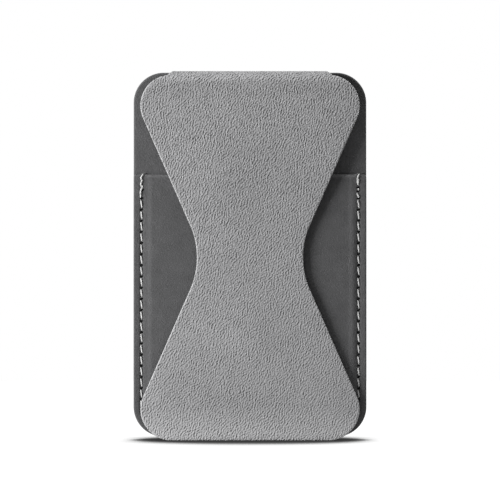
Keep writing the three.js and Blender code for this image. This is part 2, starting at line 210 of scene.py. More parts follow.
def flat_place(points, depth):
    """Puts flat points upright, at a depth behind the phone's side."""
    return np.stack([points[:, 0], -depth, points[:, 1]], 1)


def linked_object(name, data):
    made = bpy.data.objects.new(name, data)
    bpy.context.scene.collection.objects.link(made)
    return made


def sheet_piece(name, cut, front, back, material, place=flat_place, joins=()):
    """A closed sheet: its front and back faces lie at the depths given, and walls close it all round.
    Its borders at the levels in joins stay crisp, because the next stretch goes on there."""
    count = len(cut.points)
    places = np.concatenate([place(cut.points, front), place(cut.points, back)]) * MM
    triangles = cut.triangles
    sides = np.concatenate([triangles[:, [0, 1]], triangles[:, [1, 2]], triangles[:, [2, 0]]]).tolist()
    known = {tuple(side) for side in sides}
    border = [(a, b) for a, b in sides if (b, a) not in known]
    faces = triangles.tolist() + (triangles[:, ::-1] + count).tolist()
    faces += [(b, a, a + count, b + count) for a, b in border]
    mesh = bpy.data.meshes.new(name)
    mesh.from_pydata(places.tolist(), [], faces)
    mesh.shade_smooth()
    crisp = set()
    for level in joins:
        near = np.abs(cut.points[:, 1] - level) < 1e-4
        for a, b in border:
            if near[a] and near[b]:
                crisp |= {frozenset((a, b)), frozenset((a + count, b + count))}
    for edge in mesh.edges:
        if frozenset(edge.vertices) in crisp:
            edge.use_edge_sharp = True
    gap = mesh.attributes.new("edge_mm", "FLOAT", "POINT")
    gap.data.foreach_set("value", np.tile(cut.edge, 2).astype(np.float32))
    pattern = mesh.uv_layers.new(name="pattern")
    corners = np.zeros(len(mesh.loops), np.int32)
    mesh.loops.foreach_get("vertex_index", corners)
    unrolled = (np.tile(cut.points, (2, 1))[corners] - PATTERN_START) / PATTERN_SPAN
    pattern.uv.foreach_set("vector", unrolled.astype(np.float32).ravel())
    mesh.materials.append(material)
    return linked_object(name, mesh)


def round_edge(edge, radius, height):
    """How far a face falls back at the cut edge, over a quarter round of that radius and height."""
    t = np.clip(1 - edge / radius, 0, 1)
    return height * (1 - np.sqrt(1 - t * t))


def wired(tree, kind, inputs=None, **settings):
    """A new node of a tree. Each of its inputs is given as a value or as another node's socket."""
    made = tree.nodes.new(kind)
    for key, value in settings.items():
        setattr(made, key, value)
    for key, value in (inputs or {}).items():
        if isinstance(value, bpy.types.NodeSocket):
            tree.links.new(value, made.inputs[key])
        else:
            made.inputs[key].default_value = value
    return made


class Wiring:
    """The sums that every node tree here can make."""

    def __init__(self, tree):
        self.tree = tree

    def maths(self, operation, a, b=0.0, c=0.0):
        return wired(self.tree, "ShaderNodeMath", {0: a, 1: b, 2: c}, operation=operation).outputs[0]

    def scaled(self, vector, scale):
        inputs = {0: vector, "Scale": scale}
        return wired(self.tree, "ShaderNodeVectorMath", inputs, operation="SCALE").outputs[0]


class Finish(Wiring):
    """A material with its shader, to which each section adds its own nodes."""

    def __init__(self, name, colour, roughness, **sockets):
        self.material = bpy.data.materials.new(name)
        self.material.use_nodes = True
        super().__init__(self.material.node_tree)
        self.shader = self.tree.nodes["Principled BSDF"]
        self.colour = (*colour, 1)
        self.shader.inputs["Base Color"].default_value = self.colour
        self.shader.inputs["Roughness"].default_value = roughness
        for socket, value in sockets.items():
            self.shader.inputs[socket.replace("_", " ")].default_value = value

    def node(self, kind, inputs=None, **settings):
        return wired(self.tree, "ShaderNode" + kind, inputs, **settings)

    def weighed(self, a, weight_a, b, weight_b):
        """Two values added up by their weights."""
        return self.maths("MULTIPLY_ADD", a, weight_a, self.maths("MULTIPLY", b, weight_b))

    def between(self, value, low, high, at_low=0.0, at_high=1.0):
        """Goes evenly from one level to another while the value goes from low to high."""
        inputs = {"Value": value, "From Min": low, "From Max": high, "To Min": at_low, "To Max": at_high}
        return self.node("MapRange", inputs).outputs[0]

    def stretched(self, place, scale):
        """The same places with each axis scaled by itself."""
        return self.node("Mapping", {"Vector": place, "Scale": scale}).outputs[0]

    def object_place(self):
        """Where a point is on the piece, in millimetres."""
        return self.scaled(self.node("TexCoord").outputs["Object"], 1 / MM)

    def edge_gap(self):
        """How far a point is from the cut edge, in millimetres."""
        return self.node("Attribute", attribute_name="edge_mm").outputs["Fac"]

    def noise(self, place, scale, detail=2.0, roughness=0.5, distortion=0.0):
        inputs = {"Vector": place, "Scale": scale, "Detail": detail, "Roughness": roughness}
        inputs["Distortion"] = distortion
        return self.node("TexNoise", inputs).outputs["Fac"]

    def ramp(self, value, stops):
        made = self.node("ValToRGB", {"Fac": value})
        elements = made.color_ramp.elements
        while len(elements) < len(stops):
            elements.new(0.5)
        for element, (at, colour) in zip(elements, stops):
            element.position = at
            element.color = (*colour, 1) if hasattr(colour, "__len__") else (colour, colour, colour, 1)
        return made.outputs["Color"]

    def shade(self, value, spread):
        """The finish's colour, made darker and lighter by a value from 0 to 1."""
        dark = [c * (1 - spread) for c in self.colour[:3]]
        light = [c * (1 + spread) for c in self.colour[:3]]
        return self.ramp(value, [(0.25, dark), (0.75, light)])

    def mixed(self, share, a, b):
        return self.node("Mix", {0: share, 6: a, 7: b}, data_type="RGBA").outputs[2]

    def bump(self, height, strength, distance_mm):
        inputs = {"Height": height, "Strength": strength, "Distance": distance_mm * MM}
        return self.node("Bump", inputs).outputs["Normal"]

    def textured(self, value, spread, strength, depth_mm):
        """Lets one texture shade the colour and raise the surface."""
        self.wear("Base Color", self.shade(value, spread))
        self.wear("Normal", self.bump(value, strength, depth_mm))

    def wear(self, socket, value):
        self.tree.links.new(value, self.shader.inputs[socket])


# Microfibre: a short nap, brushed down the piece, that lies a little lighter and darker in fine streaks.
microfibre = Finish("microfibre", (0.07, 0.07, 0.072), 0.95,
                    Sheen_Weight=0.35, Sheen_Roughness=0.45, Specular_IOR_Level=0.2)
place = microfibre.object_place()
nap = microfibre.noise(microfibre.stretched(place, (1.9, 1.9, 0.85)), 1.0, 5.0, 0.78)
patches = microfibre.noise(place, 0.11, 3.0, 0.6)
microfibre.wear("Base Color", microfibre.shade(microfibre.weighed(nap, 0.85, patches, 0.15), 0.42))
microfibre.wear("Normal", microfibre.bump(nap, 0.7, 0.09))


def ring_line(grow):
    """The outline of the open ring, drawn wider or narrower."""
    opening = RING_OPENING - math.degrees(grow / RING_OUTER)
    start, end = opening - 90, 270 - opening
    outer = arc_points((0, 0), RING_OUTER + RING_CLEARANCE + grow, start, end, RING_STEPS)
    inner = arc_points((0, 0), RING_INNER - RING_CLEARANCE - grow, end, start, RING_STEPS)
    return np.concatenate([outer, inner])


def bar_line(grow):
    """The outline of the bar, drawn wider or narrower."""
    x, half = BAR_HALF_WIDTH + grow, BAR_HALF_HEIGHT + grow
    low, high = BAR_LEVEL - half, BAR_LEVEL + half
    return finely(np.array([[-x, low], [x, low], [x, high], [-x, high]]), 1.0)


steps_off_line = (-0.55, -0.3, 0.0, 0.3, 0.55)
lines = [line(grow) for line in (ring_line, bar_line) for grow in steps_off_line]
back_cut = Cut(body_outline(BACK_SKIN_INSET), (0.05, 0.12, 0.22, 0.35, 0.6), even_rows(BODY_BOTTOM, BODY_TOP),
               rings=lines)
off_ring = edge_distance(back_cut.points, ring_line(0.0))
off_bar = edge_distance(back_cut.points, bar_line(0.0))
pressed_line = LINE_DEPTH * (1 - smooth(np.minimum(off_ring, off_bar), 0.0, LINE_REACH))
phone_face = pressed_line + round_edge(back_cut.edge, 0.35, 0.22)
glued_face = BACK_SKIN_THICKNESS - round_edge(back_cut.edge, 0.2, 0.12)
phone_side_skin = sheet_piece("phone_side_skin", back_cut, glued_face, phone_face, microfibre.material)
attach(phone_side_skin, "body")
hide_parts("back_skin")

# Magnet board: a pressed fibre board with the nickel-plated magnets of the ring
# and the bar glued into its pockets, a steel yoke behind the ring, and a thin
# steel sheet in front that keeps the field off the cards.
fibreboard = Finish("fibreboard", (0.06, 0.0598, 0.0592), 0.85, Specular_IOR_Level=0.25)
place = fibreboard.object_place()
fibres = fibreboard.noise(fibreboard.stretched(place, (1.0, 1.0, 0.25)), 4.0, 4.0, 0.7)
fibreboard.textured(fibres, 0.3, 0.4, 0.05)

sheet_steel = Finish("sheet_steel", (0.55, 0.56, 0.57), 0.35, Metallic=1.0)
place = sheet_steel.object_place()
grain = sheet_steel.noise(sheet_steel.stretched(place, (0.06, 1.0, 3.0)), 6.0, 3.0, 0.6)
sheet_steel.textured(grain, 0.12, 0.15, 0.01)
sheet_steel.wear("Roughness", sheet_steel.ramp(grain, [(0.3, 0.28), (0.7, 0.45)]))

nickel = Finish("nickel_plate", (0.62, 0.6, 0.57), 0.25, Metallic=1.0)
spots = nickel.noise(nickel.object_place(), 1.6, 4.0, 0.6)
nickel.textured(spots, 0.08, 0.1, 0.01)
nickel.wear("Roughness", nickel.ramp(spots, [(0.35, 0.18), (0.75, 0.34)]))


def finish_nodes(finish, *names):
    """Gives CAD nodes a finish by their material slots."""
    for name in names:
        for slot in nodes[name].material_slots:
            slot.material = finish.material


finish_nodes(fibreboard, "magnet_board")
finish_nodes(sheet_steel, "magnet_yoke", "card_shield")
finish_nodes(nickel, "alignment_magnet", *[f"ring_magnet_{i + 1:02d}" for i in range(16)])

# Front skin: smooth dark leather drawn over the board and turned back at its
# edge. It is glued to the phone-side skin, with a notch where the strap leaves.
RIM_WIDTH = 1.5
SHIELD_FACE = 2.5
FRONT_SKIN_FACE = 3.1
NOTCH_SIDE, NOTCH_LEVEL, NOTCH_DEPTH = (22.3, 22.7), (31.2, 31.6), 0.42
POCKET_MOUTH = 4.8
SEAM_INSET = 2.2
SEAM_MIDDLE = BODY_HALF_WIDTH - SEAM_INSET
WELT_INNER = 28.0

dark_leather = Finish("dark_leather", (0.094, 0.094, 0.096), 0.62, Specular_IOR_Level=0.03)
place = dark_leather.object_place()
cloud = dark_leather.noise(place, 0.22, 4.0, 0.62)
pores = dark_leather.noise(place, 2.2, 2.0, 0.7, 0.3)
dyed = dark_leather.shade(dark_leather.weighed(cloud, 0.6, pores, 0.4), 0.22)
edge_rubbed = dark_leather.between(dark_leather.edge_gap(), 0.0, 0.4, 0.55, 0.0)
dyed = dark_leather.mixed(edge_rubbed, dyed, (0.135, 0.135, 0.138, 1))
# Painted highlights: the pocket panel is made lighter at its mouth, standing in for light caught on the lip,
# and along the ridge over the inner edges of the welts, where the slope faces the lamp.
across, _, up = dark_leather.node("SeparateXYZ", {0: place}).outputs
off_middle = dark_leather.maths("ABSOLUTE", across)
near_mouth = dark_leather.between(up, POCKET_MOUTH - 1.6, POCKET_MOUTH + 0.4)
mouth_painted_light = dark_leather.ramp(near_mouth, [(0.1, 0.0), (0.35, 0.3), (0.6, 1.0), (0.8, 1.0), (0.85, 0.0)])
between_seams = dark_leather.between(off_middle, SEAM_MIDDLE - 0.6, SEAM_MIDDLE + 0.6, 1.0, 0.15)
mouth_painted_light = dark_leather.maths("MULTIPLY", mouth_painted_light, between_seams)
ridge_gap = dark_leather.maths("ABSOLUTE", dark_leather.maths("SUBTRACT", off_middle, WELT_INNER - 0.25))
ridge_painted_light = dark_leather.between(ridge_gap, 0.2, 0.85, 0.28, 0.0)
below_mouth = dark_leather.maths("LESS_THAN", up, POCKET_MOUTH)
ridge_painted_light = dark_leather.maths("MULTIPLY", ridge_painted_light, below_mouth)
painted_light = dark_leather.maths("MAXIMUM", mouth_painted_light, ridge_painted_light)
# Mixes in the lighter colour of these painted highlights at the mouth and the ridge.
dark_leather.wear("Base Color", dark_leather.mixed(painted_light, dyed, (0.152, 0.152, 0.155, 1)))
dark_leather.wear("Roughness", dark_leather.ramp(pores, [(0.3, 0.56), (0.7, 0.7)]))
dark_leather.wear("Normal", dark_leather.bump(pores, 1.0, 0.19))

front_insets = (0.06, 0.15, 0.3, 0.5, 0.75, 1.0, RIM_WIDTH - 0.03, RIM_WIDTH + 0.03)
front_cut = Cut(body_outline(), front_insets, even_rows(BODY_BOTTOM, BODY_TOP))
x, z = front_cut.points.T
face = FRONT_SKIN_FACE - round_edge(front_cut.edge, 0.45, 0.4)
notched = smooth(z, *NOTCH_LEVEL) * (1 - smooth(np.abs(x), *NOTCH_SIDE))
turned = BACK_SKIN_THICKNESS + round_edge(front_cut.edge, 0.35, 0.3) * (1 - notched) + NOTCH_DEPTH * notched
inner = np.where(front_cut.edge < RIM_WIDTH, turned, SHIELD_FACE)
front_leather = sheet_piece("front_leather", front_cut, face, inner, dark_leather.material)
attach(front_leather, "body")
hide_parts("front_skin")

# Pocket welts: a U-shaped strip of the same leather that holds the pocket panel off
# the front skin, so that cards slide in between. The lock stitch presses it down.
WELT_FACE = 4.09
WELT_INSET = 0.15
WELT_SPACING = 0.8
WELT_GIVE = 0.85
BOTTOM_WELT_TOP = -64.5
LEFT_SLOPE, RIGHT_SLOPE = 2.6, 1.5
LEFT_EASE, RIGHT_EASE = 0.1, 0.25
SLOPE_DEPTH, EDGE_RISE, TROUGH_DEPTH = 0.47, 0.19, 0.29
EDGE_RISE_WIDTH, TROUGH_HALF_WIDTH = 1.7, 0.62
MOUTH_SINK, MOUTH_ROOM, MOUTH_DIP = 0.8, 0.87, 0.27
SINK_START, DIP_LENGTH = -13.0, 2.0


def pressed_at(points):
    """How far the stitching presses the pocket's layers together: most at the seam, less towards the edge.
    On the left the slope inside the seam is long and even, and on the right it is short."""
    edge = edge_distance(points, finely(body_outline(), 1.0))
    to_right = smooth(points[:, 0], -12.0, 12.0)
    reach = LEFT_SLOPE + (RIGHT_SLOPE - LEFT_SLOPE) * to_right
    slope = np.clip(1 - (edge - SEAM_INSET) / reach, 0, 1)
    ease = LEFT_EASE + (RIGHT_EASE - LEFT_EASE) * to_right
    slope = np.where(slope < ease, slope * slope / (2 * ease), slope - ease / 2) / (1 - ease / 2)
    outward = np.clip((SEAM_INSET - edge) / EDGE_RISE_WIDTH, 0, 1)
    trough = 1 - smooth(np.abs(edge - SEAM_INSET), 0.0, TROUGH_HALF_WIDTH)
    return SLOPE_DEPTH * slope - EDGE_RISE * outward + TROUGH_DEPTH * trough


def sunk_at(points, pressed):
    """How far the mouth of the empty pocket lies down towards the front skin, over its skived welts."""
    room = MOUTH_ROOM - WELT_GIVE * pressed
    return np.minimum(MOUTH_SINK, room) * smooth(points[:, 1], SINK_START, POCKET_MOUTH)


def mouth_dip(points):
    """How far the skived mouth bends down to the front skin between the welts."""
    between_welts = 1 - smooth(np.abs(points[:, 0]), WELT_INNER - 1.8, WELT_INNER - 0.2)
    return MOUTH_DIP * smooth(points[:, 1], POCKET_MOUTH - DIP_LENGTH, POCKET_MOUTH) * between_welts


def pocket_outline(inset):
    """The pocket's outline, with its mouth corners just rounded."""
    x, low = BODY_HALF_WIDTH - BODY_CORNER, BODY_BOTTOM + BODY_CORNER
    side, top, small = BODY_HALF_WIDTH - inset, POCKET_MOUTH - inset, 0.7
    lower = arc_points((x, low), BODY_CORNER - inset, -90, 0, CORNER_STEPS)
    upper = arc_points((side - small, top - small), small, 0, 90, 5)
    return mirrored_outline(np.concatenate([lower, upper]))


outer = pocket_outline(WELT_INSET)
outer = outer[outer[:, 1] < POCKET_MOUTH - 0.8]
left_side = outer[:, 0] < 0
outer = np.concatenate([outer[left_side], outer[~left_side]])
side, mouth = BODY_HALF_WIDTH - WELT_INSET, POCKET_MOUTH - WELT_INSET
right_welt = [(side, mouth), (WELT_INNER, mouth), (WELT_INNER, BOTTOM_WELT_TOP)]
left_welt = [(-x, z) for x, z in reversed(right_welt)]
welt_rows = even_rows(BODY_BOTTOM, POCKET_MOUTH, WELT_SPACING)
welt_outline = np.concatenate([outer, right_welt, left_welt])
welt_cut = Cut(welt_outline, (0.08, 0.2), welt_rows, WELT_SPACING, WELT_SPACING)
pressed = pressed_at(welt_cut.points)
trim = round_edge(welt_cut.edge, 0.1, 0.04)
top = WELT_FACE - WELT_GIVE * pressed - sunk_at(welt_cut.points, pressed) - trim
base = FRONT_SKIN_FACE + trim
pocket_welts = sheet_piece("pocket_welts", welt_cut, top, base, dark_leather.material)
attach(pocket_welts, "body")
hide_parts("pocket_welt_left", "pocket_welt_right", "pocket_welt_bottom")

# Pocket lining: thin microfibre glued to the back of the pocket panel, cut a little
# smaller than the panel. It follows the dip of the seam.
LINING_BACK, LINING_FACE = 4.1, 4.39
LINING_GIVE = 0.9
LINING_DIP_SHARE = 0.3
POCKET_LINING_INSET = 0.25
pocket_rows = even_rows(BODY_BOTTOM, POCKET_MOUTH)
lining_cut = Cut(pocket_outline(POCKET_LINING_INSET), (0.06, 0.15), pocket_rows)
pressed = pressed_at(lining_cut.points)
sunk = sunk_at(lining_cut.points, pressed)
dip = mouth_dip(lining_cut.points)
trim = round_edge(lining_cut.edge, 0.1, 0.08)
outside = LINING_FACE - LINING_GIVE * pressed - sunk - dip - trim
within = LINING_BACK - WELT_GIVE * pressed - sunk - LINING_DIP_SHARE * dip + trim
pocket_backing = sheet_piece("pocket_backing", lining_cut, outside, within, microfibre.material)
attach(pocket_backing, "body")
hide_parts("pocket_lining")

# Pocket panel: one sheet of smooth dark leather, with a skived and rounded edge and
# two steel plates let into its back. The lock stitch pulls it down all round but the mouth.
PANEL_BACK, PANEL_FACE = 4.4, 5.0
PLATE_RECESS = 0.31
DIMPLE_DEPTH, DIMPLE_RADIUS = 0.14, 0.6
LIP_DEPTH, LIP_LENGTH = 0.15, 1.1
STITCH_PITCH = 3.086
SEAM_START = POCKET_MOUTH - 0.5
SEAM_CORNER = BODY_CORNER - SEAM_INSET
SEAM_STRAIGHT = SEAM_START - BODY_BOTTOM - BODY_CORNER
SEAM_BEND = SEAM_CORNER * math.pi / 2
SEAM_HALF = SEAM_STRAIGHT + SEAM_BEND + BODY_HALF_WIDTH - BODY_CORNER
SEAM_LENGTH = 2 * SEAM_HALF


def seam_line(start, end, spacing, offset=0.0):
    """Points of the seam between two distances from its left end, set off outwards by an offset."""
    rows = []
    for along in np.linspace(start, end, max(2, int(round((end - start) / spacing)) + 1)):
        side = 1 if along > SEAM_HALF else -1
        run = SEAM_LENGTH - along if along > SEAM_HALF else along
        turn = min(max((run - SEAM_STRAIGHT) / SEAM_CORNER, 0), math.pi / 2)
        across = max(run - SEAM_STRAIGHT - SEAM_BEND, 0)
        out = np.array([side * math.cos(turn), -math.sin(turn)])
        centre_x = side * (BODY_HALF_WIDTH - BODY_CORNER - across)
        centre = np.array([centre_x, SEAM_START - min(run, SEAM_STRAIGHT)])
        rows.append(centre + out * (SEAM_CORNER + offset))
    return np.array(rows)


stitch_count = int(round(SEAM_LENGTH / STITCH_PITCH))
needle_points = seam_line(0, SEAM_LENGTH, SEAM_LENGTH / stitch_count)


def panel_front(points, edge, pressed):
    """The depth of the panel's face: flat, down at the seam, with a dimple at each needle hole."""
    dimple = np.zeros(len(points))
    for needle in needle_points:
        dimple = np.maximum(dimple, 1 - smooth(np.hypot(*(points - needle).T), 0.0, DIMPLE_RADIUS))
    lip = mouth_dip(points) + LIP_DEPTH * smooth(points[:, 1], POCKET_MOUTH - LIP_LENGTH, POCKET_MOUTH)
    sunk = sunk_at(points, pressed) + DIMPLE_DEPTH * dimple
    return PANEL_FACE - pressed - sunk - round_edge(edge, 0.42, 0.34) - lip


def plate_ring(name, gap):
    """The outline of a steel plate, with a gap round it."""
    low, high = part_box(name)
    west, east = low.x / MM - gap, high.x / MM + gap
    south, north = low.z / MM - gap, high.z / MM + gap
    return finely(np.array([[west, south], [east, south], [east, north], [west, north]]), 2.0)


plates = ("closing_strike_plate", "stand_strike_plate")
seam_band = [SEAM_INSET + step for step in (-0.9, -0.6, -0.3, 0.0, 0.3, 0.6, 0.9, 1.3, 1.8, 2.3)]
panel_insets = (0.05, 0.12, 0.22, 0.34, 0.5, 0.8, *seam_band)
panel_cut = Cut(pocket_outline(0.0), panel_insets, pocket_rows, edge_spacing=0.5,
                rings=[plate_ring(name, gap) for name in plates for gap in (0.1, 0.2)])
recessed = np.zeros(len(panel_cut.points), bool)
for name in plates:
    recessed |= inside(panel_cut.points, plate_ring(name, 0.15))
pressed = pressed_at(panel_cut.points)
grain_side = panel_front(panel_cut.points, panel_cut.edge, pressed)
sunk = sunk_at(panel_cut.points, pressed)
flesh_side = PANEL_BACK - LINING_GIVE * pressed - sunk - mouth_dip(panel_cut.points)
flesh_side += round_edge(panel_cut.edge, 0.2, 0.05) + PLATE_RECESS * recessed
panel = sheet_piece("pocket_front", panel_cut, grain_side, flesh_side, dark_leather.material)
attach(panel, "body")
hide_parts("pocket_panel")
finish_nodes(sheet_steel, *plates)

# Lock stitch: pale three-ply thread, sewn down the left side, round the bottom and up
# the right side. Each stitch lies a little aslant between two needle holes.
THREAD_DEPTH = 4.43
PATH_SPACING, PATH_MARGIN = 0.4, 0.05
thread = Finish("pale_thread", (0.6, 0.6, 0.595), 0.8, Sheen_Weight=0.1, Specular_IOR_Level=0.15)
thread.textured(thread.noise(thread.object_place(), 9.0, 2.0, 0.6), 0.18, 0.3, 0.03)


class Pattern(Wiring):
    """A geometry node tree with named inputs, which grows what follows a path or repeats along it."""

    def __init__(self, name, **inputs):
        super().__init__(bpy.data.node_groups.new(name, "GeometryNodeTree"))
        sockets = self.tree.interface
        sockets.new_socket("Geometry", in_out="INPUT", socket_type="NodeSocketGeometry")
        sockets.new_socket("Geometry", in_out="OUTPUT", socket_type="NodeSocketGeometry")
        for key, value in inputs.items():
            made = sockets.new_socket(key.replace("_", " "), in_out="INPUT", socket_type="NodeSocketFloat")
            made.default_value = value
        self.entry = self.tree.nodes.new("NodeGroupInput")
        self.exit = self.tree.nodes.new("NodeGroupOutput")

    def given(self, name="Geometry"):
        return self.entry.outputs[name]

    def node(self, kind, inputs=None, **settings):
        return wired(self.tree, "GeometryNode" + kind, inputs, **settings)

    def vector(self, **parts):
        return wired(self.tree, "ShaderNodeCombineXYZ", parts).outputs[0]

    def from_middle(self, share):
        """How far a point is from the middle of its line: 0 there and 1 at both ends."""
        return self.maths("ABSOLUTE", self.maths("MULTIPLY_ADD", share, 2.0, -1.0))

    def finish(self, geometry, material):
        """Ends the tree with a material on what it has made."""
        dyed = self.node("SetMaterial", {"Geometry": geometry, "Material": material})
        self.tree.links.new(dyed.outputs["Geometry"], self.exit.inputs[0])

    def repeat(self, one, pitch, material):
        """Ends the tree with one shape set at even steps along the given path. Its X runs along the path
        and its Z points out of the leather."""
        spaced = self.node("CurveToPoints", {"Curve": self.given(), "Length": pitch}, mode="LENGTH")
        upright = wired(self.tree, "FunctionNodeAlignRotationToVector", {"Vector": (0, -1, 0)}, axis="Z")
        turned = wired(self.tree, "FunctionNodeAlignRotationToVector", {
            "Rotation": upright.outputs[0], "Vector": spaced.outputs["Tangent"]}, axis="X", pivot_axis="Z")
        placed = self.node("InstanceOnPoints", {
            "Points": spaced.outputs["Points"], "Instance": one, "Rotation": turned.outputs[0]})
        real = self.node("RealizeInstances", {"Geometry": placed.outputs["Instances"]})
        self.finish(real.outputs["Geometry"], material)


# The thread itself: a three-lobed section swept along a curve and twisted as it goes.
ply = Pattern("twisted_thread", Thread_Diameter=0.5 * MM, Turns_per_Metre=900.0, End_Taper=0.55)
circle = ply.node("CurvePrimitiveCircle", {"Resolution": 12, "Radius": 1.0})
share = ply.node("SplineParameter").outputs
lobe = ply.maths("COSINE", ply.maths("MULTIPLY", share["Factor"], 6 * math.pi))
swell = ply.maths("MULTIPLY_ADD", lobe, 0.13, 0.87)
radius = ply.maths("MULTIPLY", swell, ply.maths("MULTIPLY", ply.given("Thread Diameter"), 0.5))
where = ply.node("InputPosition").outputs[0]
lobed = ply.node("SetPosition", {
    "Geometry": circle.outputs["Curve"], "Position": ply.scaled(where, radius)})
turns = ply.maths("MULTIPLY", ply.given("Turns per Metre"), 2 * math.pi)
tilted = ply.node("SetCurveTilt", {
    "Curve": ply.given(), "Tilt": ply.maths("MULTIPLY", share["Length"], turns)})
at_ends = ply.maths("POWER", ply.from_middle(share["Factor"]), 4.0)
slim = ply.maths("SUBTRACT", 1.0, ply.maths("MULTIPLY", at_ends, ply.given("End Taper")))
swept = ply.node("CurveToMesh", {
    "Curve": tilted.outputs["Curve"], "Profile Curve": lobed.outputs["Geometry"],
    "Scale": slim, "Fill Caps": True})
soft = ply.node("SetShadeSmooth", {0: swept.outputs["Mesh"]})
ply.finish(soft.outputs[0], thread.material)

# A row of stitches: each is a short arched piece of that thread, set between two needle holes.
row = Pattern("stitch_row", Stitch_Pitch=STITCH_PITCH * MM, Stitch_Length=2.3 * MM,
              Thread_Diameter=0.47 * MM, Slant=0.15, Arch=0.14 * MM)
reach = row.vector(X=row.maths("MULTIPLY", row.given("Stitch Length"), 0.5))
straight = row.node("CurvePrimitiveLine", {"Start": row.scaled(reach, -1.0), "End": reach})
divided = row.node("ResampleCurve", {"Curve": straight.outputs["Curve"], "Count": 12})
from_middle = row.from_middle(row.node("SplineParameter").outputs["Factor"])
rise = row.maths("SUBTRACT", 1.0, row.maths("POWER", from_middle, 2.6))
lift = row.vector(Z=row.maths("MULTIPLY", rise, row.given("Arch")))
arched = row.node("SetPosition", {"Geometry": divided.outputs["Curve"], "Offset": lift})
stitch = row.node("Group", {
    "Geometry": arched.outputs["Geometry"], "Thread Diameter": row.given("Thread Diameter")},
    node_tree=ply.tree)
slanted = row.node("Transform", {
    "Geometry": stitch.outputs["Geometry"], "Rotation": row.vector(Z=row.given("Slant"))})
row.repeat(slanted.outputs["Geometry"], row.given("Stitch Pitch"), thread.material)


def path_object(name, places):
    """A curve object through points given in millimetres."""
    curve = bpy.data.curves.new(name, "CURVE")
    curve.dimensions = "3D"
    curve.twist_mode = "MINIMUM"
    spline = curve.splines.new("POLY")
    spline.points.add(len(places) - 1)
    weighted = np.concatenate([places * MM, np.ones((len(places), 1))], 1)
    spline.points.foreach_set("co", weighted.ravel())
    return linked_object(name, curve)


def grown(name, path, pattern):
    """The plain mesh that a pattern makes from a path. The path goes."""
    path.modifiers.new("grow", "NODES").node_group = pattern.tree
    graph = bpy.context.evaluated_depsgraph_get()
    mesh = bpy.data.meshes.new_from_object(path.evaluated_get(graph), depsgraph=graph)
    mesh.name = name
    bpy.data.objects.remove(path)
    return linked_object(name, mesh)


def joined(name, pieces):
    """One piece of several that are fixed together."""
    with bpy.context.temp_override(active_object=pieces[0], selected_editable_objects=pieces):
        bpy.ops.object.join()
    pieces[0].name = name
    return pieces[0]


def path_over(name, spots, depth):
    """A path over spots of the seam at a depth, which sinks where the pocket's mouth does."""
    sunk = sunk_at(spots, pressed_at(spots))
    return path_object(name, np.stack([spots[:, 0], sunk - depth, spots[:, 1]], 1))


def seam_path(name, start, end, offset=0.0, depth=THREAD_DEPTH):
    return path_over(name, seam_line(start, end, PATH_SPACING, offset), depth)


def eased(points):
    """The same line with its corners cut twice, so that it bends softly."""
    for _ in range(2):
        a, b = points[:-1], points[1:]
        bent = np.stack([0.75 * a + 0.25 * b, 0.25 * a + 0.75 * b], 1).reshape(-1, 3)
        points = np.concatenate([points[:1], bent, points[-1:]])
    return points


def laid_thread(name, middle, stations):
    """Thread laid over the panel. A station is the offset from the seam, the level and the lift."""
    line = eased(np.array(stations))
    spots = np.stack([middle + line[:, 0], line[:, 1]], 1)
    return grown(name, path_over(name, spots, THREAD_DEPTH + line[:, 2]), ply)


# At both ends the thread runs back over its first stitches and over the edge of the mouth.
laid_threads = (
    ("left_doubled", -SEAM_MIDDLE, [
        (0.6, 4.7, -0.7), (0.58, 4.98, -0.25), (0.32, 4.7, 0.2), (-0.08, 4.1, 0.22), (-0.12, 3.65, 0.05),
        (0.16, 3.2, -0.02), (0.1, 2.8, 0.08), (-0.16, 2.4, 0.2), (-0.22, 1.9, 0.16), (-0.2, 1.45, -0.12)]),
    ("left_return", -SEAM_MIDDLE, [
        (0.0, 2.0, -0.1), (0.18, 1.65, 0.02), (0.26, 1.25, 0.02), (0.0, 0.85, 0.06), (-0.22, 0.3, 0.14),
        (-0.26, -0.6, 0.16), (-0.24, -1.4, 0.08), (-0.18, -1.85, -0.14)]),
    ("right_doubled", SEAM_MIDDLE, [
        (0.2, 4.6, -0.7), (0.22, 4.95, -0.25), (0.06, 4.7, 0.15), (-0.2, 4.1, 0.2), (-0.3, 3.2, 0.16),
        (-0.26, 2.5, 0.1), (-0.08, 1.8, -0.1)]),
    ("right_first", SEAM_MIDDLE, [
        (0.02, 3.6, 0.0), (-0.02, 3.0, 0.12), (-0.08, 2.4, 0.1), (-0.15, 1.9, -0.12)]),
    ("right_return", SEAM_MIDDLE, [
        (-0.1, 0.9, -0.12), (0.02, 0.75, 0.0), (-0.06, 0.4, -0.14)]),
    ("right_second", SEAM_MIDDLE, [
        (-0.3, -0.2, -0.12), (-0.34, -0.5, 0.08), (-0.2, -0.9, 0.14), (0.02, -1.4, 0.1),
        (0.06, -1.85, -0.14)]),
)
row_start = 2.5 * STITCH_PITCH - PATH_MARGIN
rows = [grown("main_row", seam_path("main_path", row_start, SEAM_LENGTH - row_start), row)]
rows += [laid_thread(*laid) for laid in laid_threads]
seam_thread = joined("seam_thread", rows)
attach(seam_thread, "body")
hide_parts("pocket_seam_thread")

# Needle holes: each is a small black lens, painted shade standing in for the dark inside of a hole,
# slanted across the line of the seam, where one stitch goes down and the next comes up.
HOLE_DEPTH = 4.41
# The lens's near-black colour is painted shade for the hole.
painted_hole_shade = Finish("needle_hole_black", (0.004, 0.004, 0.004), 0.9, Specular_IOR_Level=0.1)
painted_hole_shade.wear("Base Color", painted_hole_shade.shade(painted_hole_shade.noise(painted_hole_shade.object_place(), 6.0), 0.4))

